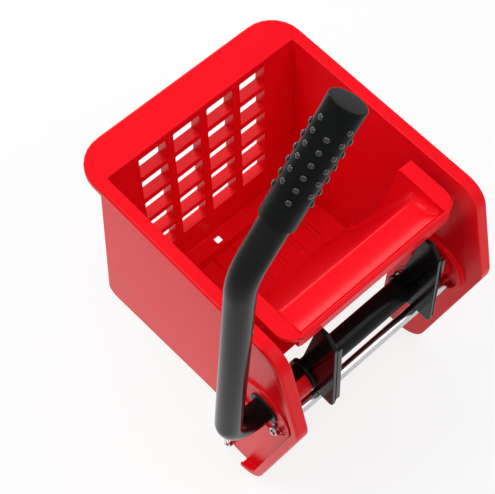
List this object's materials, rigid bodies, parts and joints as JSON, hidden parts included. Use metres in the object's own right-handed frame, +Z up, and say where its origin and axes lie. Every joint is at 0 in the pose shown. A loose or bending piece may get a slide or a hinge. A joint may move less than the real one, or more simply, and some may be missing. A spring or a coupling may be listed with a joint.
{
  "type": "side press mop wringer",
  "caption": "Red moulded side press mop wringer with a hinged presser plate, cam arms on a cross shaft and a bent black tube handle with a rubber grip",
  "frame": {"origin": "middle of the underside of the seat rail that rests on the bucket's end wall", "axes": "+X from the perforated back wall to the open front, +Y from the handle side to the far side, +Z up"},
  "size_m": [0.3182, 0.3161, 0.6579],
  "materials": {
    "red_plastic": "glossy moulded polypropylene",
    "black_coat": "satin black powder coat on steel",
    "black_rubber": "matt moulded rubber",
    "black_nylon": "moulded nylon",
    "bright_steel": "bright plated steel"
  },
  "bodies": {
    "body": {"wringer_body": "red_plastic", "near_shaft_bush": "black_nylon", "far_shaft_bush": "black_nylon", "tie_rod": "bright_steel", "tie_rod_nuts": "bright_steel", "tie_rod_washers": "bright_steel", "lower_rod": "bright_steel", "lower_rod_nuts": "bright_steel", "lower_rod_washers": "bright_steel", "hinge_rod": "bright_steel"},
    "handle": {"handle_tube": "black_coat", "handle_grip": "black_rubber", "near_cam_arm": "black_coat", "far_cam_arm": "black_coat", "near_thrust_washer": "black_nylon", "shaft_washer": "bright_steel", "split_pin": "bright_steel", "shaft_end_plug": "black_nylon", "return_spring": "bright_steel"},
    "presser": {"presser_plate": "red_plastic"}
  },
  "joints": [
    {"name": "handle_press", "type": "hinge", "parent": "body", "child": "handle", "pos_m": [0.068, 0, 0.094], "axis": [0, -1, 0], "range_deg": [0, 75], "stiffness_Nm_per_rad": 3, "springref_deg": -28.65, "deforming": ["return_spring"]},
    {"name": "presser_swing", "type": "hinge", "parent": "body", "child": "presser", "pos_m": [-0.041, 0, 0.01], "axis": [0, -1, 0], "range_deg": [0, 30]}
  ],
  "couplings": [
    {"joint": "presser_swing", "follows": "handle_press", "ratio": 0.4}
  ]
}
